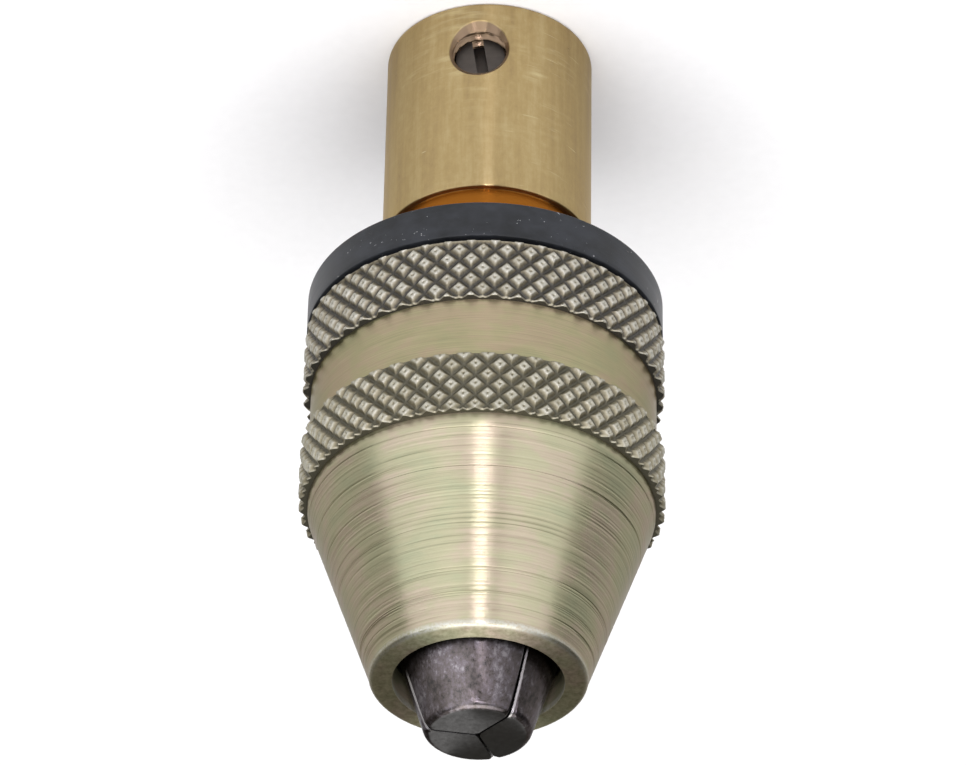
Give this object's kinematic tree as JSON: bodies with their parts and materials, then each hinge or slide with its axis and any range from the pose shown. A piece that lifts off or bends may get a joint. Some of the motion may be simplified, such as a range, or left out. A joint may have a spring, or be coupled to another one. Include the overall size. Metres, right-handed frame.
{
  "type": "drill chuck",
  "caption": "Small keyless drill chuck: knurled turning sleeve closes split conical jaws, on a brass motor-shaft adaptor with a grub screw.",
  "frame": {"origin": "centre of the adaptor's rear end face, where the motor shaft goes in", "axes": "+Z along the spindle axis towards the nose; -Y towards the side with the grub screw"},
  "size_m": [0.017, 0.017, 0.0381],
  "materials": {
    "brass": "drawn and turned, satin",
    "dark_steel": "blackened alloy steel",
    "black_oxide": "satin black oxide",
    "steel": "turned",
    "plated_steel": "turned and knurled, yellow chromate plating",
    "hardened_steel": "heat treated, ground",
    "spring_steel": "drawn wire and strip"
  },
  "bodies": {
    "spindle": {"shaft_adaptor": "brass", "spindle": "steel", "rear_collar": "black_oxide", "retaining_ring": "spring_steel", "drive_pin_1": "steel", "drive_pin_2": "steel", "drive_pin_3": "steel"},
    "grub_screw": {"grub_screw": "dark_steel"},
    "sleeve": {"sleeve": "plated_steel"},
    "jaw_carrier": {"jaw_carrier": "steel", "jaw_spring_1": "spring_steel", "jaw_spring_2": "spring_steel", "jaw_spring_3": "spring_steel"},
    "jaw_1": {"jaw_1": "hardened_steel"},
    "jaw_2": {"jaw_2": "hardened_steel"},
    "jaw_3": {"jaw_3": "hardened_steel"}
  },
  "joints": [
    {"name": "sleeve_turn", "type": "hinge", "parent": "spindle", "child": "sleeve", "pos_m": [0, 0, 0.0168], "axis": [0, 0, 1], "range_deg": [0, 1583]},
    {"name": "carrier_travel", "type": "slide", "parent": "spindle", "child": "jaw_carrier", "axis": [0, 0, -1], "range_m": [0, 0.0044], "deforming": ["jaw_spring_1", "jaw_spring_2", "jaw_spring_3"]},
    {"name": "jaw_1_slide", "type": "slide", "parent": "jaw_carrier", "child": "jaw_1", "axis": [0.3502, -0.9367, 0], "range_m": [0, 0.0016]},
    {"name": "jaw_2_slide", "type": "slide", "parent": "jaw_carrier", "child": "jaw_2", "axis": [0.6361, 0.7716, 0], "range_m": [0, 0.0016]},
    {"name": "jaw_3_slide", "type": "slide", "parent": "jaw_carrier", "child": "jaw_3", "axis": [-0.9863, 0.165, 0], "range_m": [0, 0.0016]},
    {"name": "grub_screw_travel", "type": "slide", "parent": "spindle", "child": "grub_screw", "axis": [0.1097, -0.994, 0], "range_m": [0, 0.0009]}
  ],
  "couplings": [
    {"joint": "carrier_travel", "follows": "sleeve_turn", "m_per_rad": 0.00015915},
    {"joint": "jaw_1_slide", "follows": "sleeve_turn", "m_per_rad": 0.000057928},
    {"joint": "jaw_2_slide", "follows": "sleeve_turn", "m_per_rad": 0.000057928},
    {"joint": "jaw_3_slide", "follows": "sleeve_turn", "m_per_rad": 0.000057928}
  ]
}
